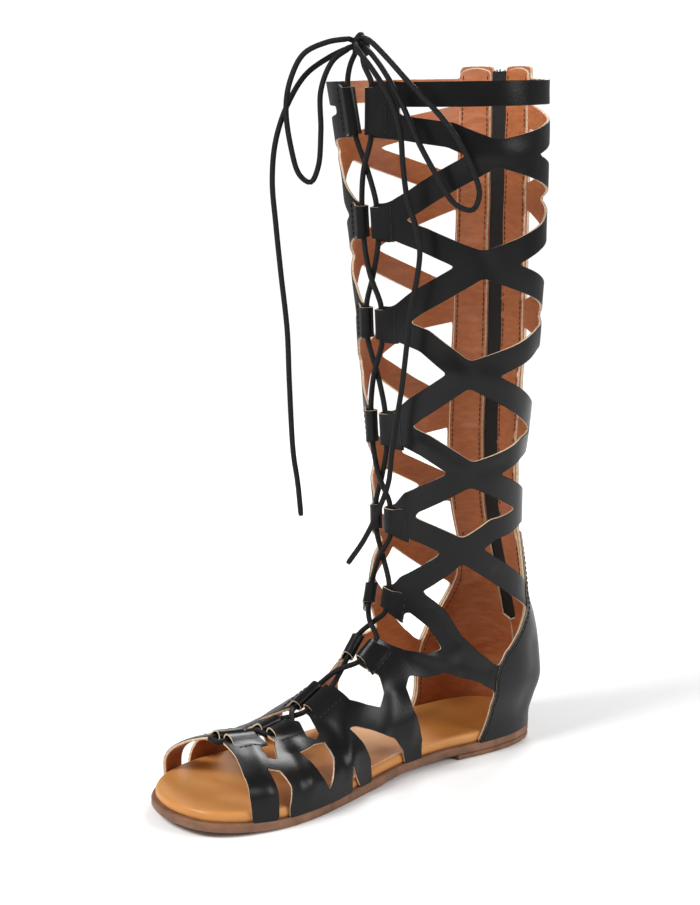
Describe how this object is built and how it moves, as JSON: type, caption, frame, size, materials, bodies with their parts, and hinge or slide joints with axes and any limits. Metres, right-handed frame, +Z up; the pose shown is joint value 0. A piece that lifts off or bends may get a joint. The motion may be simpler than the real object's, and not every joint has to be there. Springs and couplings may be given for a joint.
{
  "type": "knee-high gladiator sandal",
  "caption": "Right-foot gladiator sandal: a tall cage of crossed leather straps on a flat sole, laced with cord up the front and zipped up the back.",
  "frame": {"origin": "centre of the heel's resting face, on the floor", "axes": "+X to the toe, +Y to the medial side, +Z up"},
  "size_m": [0.2592, 0.1431, 0.4074],
  "materials": {
    "sole_brown": "smooth matt rubber sheet",
    "insole_tan": "smooth, soft sheen",
    "upper_black": "smooth, half gloss",
    "zip_tape_black": "woven tape",
    "zip_teeth_black": "moulded coil",
    "zip_metal": "black enamel",
    "lace_black": "waxed round cord"
  },
  "bodies": {
    "sandal": {"outsole": "sole_brown", "insole": "insole_tan", "upper": "upper_black", "zip_tape": "zip_tape_black", "zip_teeth": "zip_teeth_black", "zip_slider": "zip_metal", "lace": "lace_black", "bow_knot": "lace_black", "bow_loop_front": "lace_black", "bow_loop_side": "lace_black", "lace_end_front": "lace_black", "lace_end_side": "lace_black"},
    "pull": {"zip_pull": "zip_metal"}
  },
  "joints": [
    {"name": "zip_pull_hinge", "type": "hinge", "parent": "sandal", "child": "pull", "pos_m": [-0.03055, 0, 0.37381], "axis": [0, 1, 0], "range_deg": [0, 160]}
  ]
}
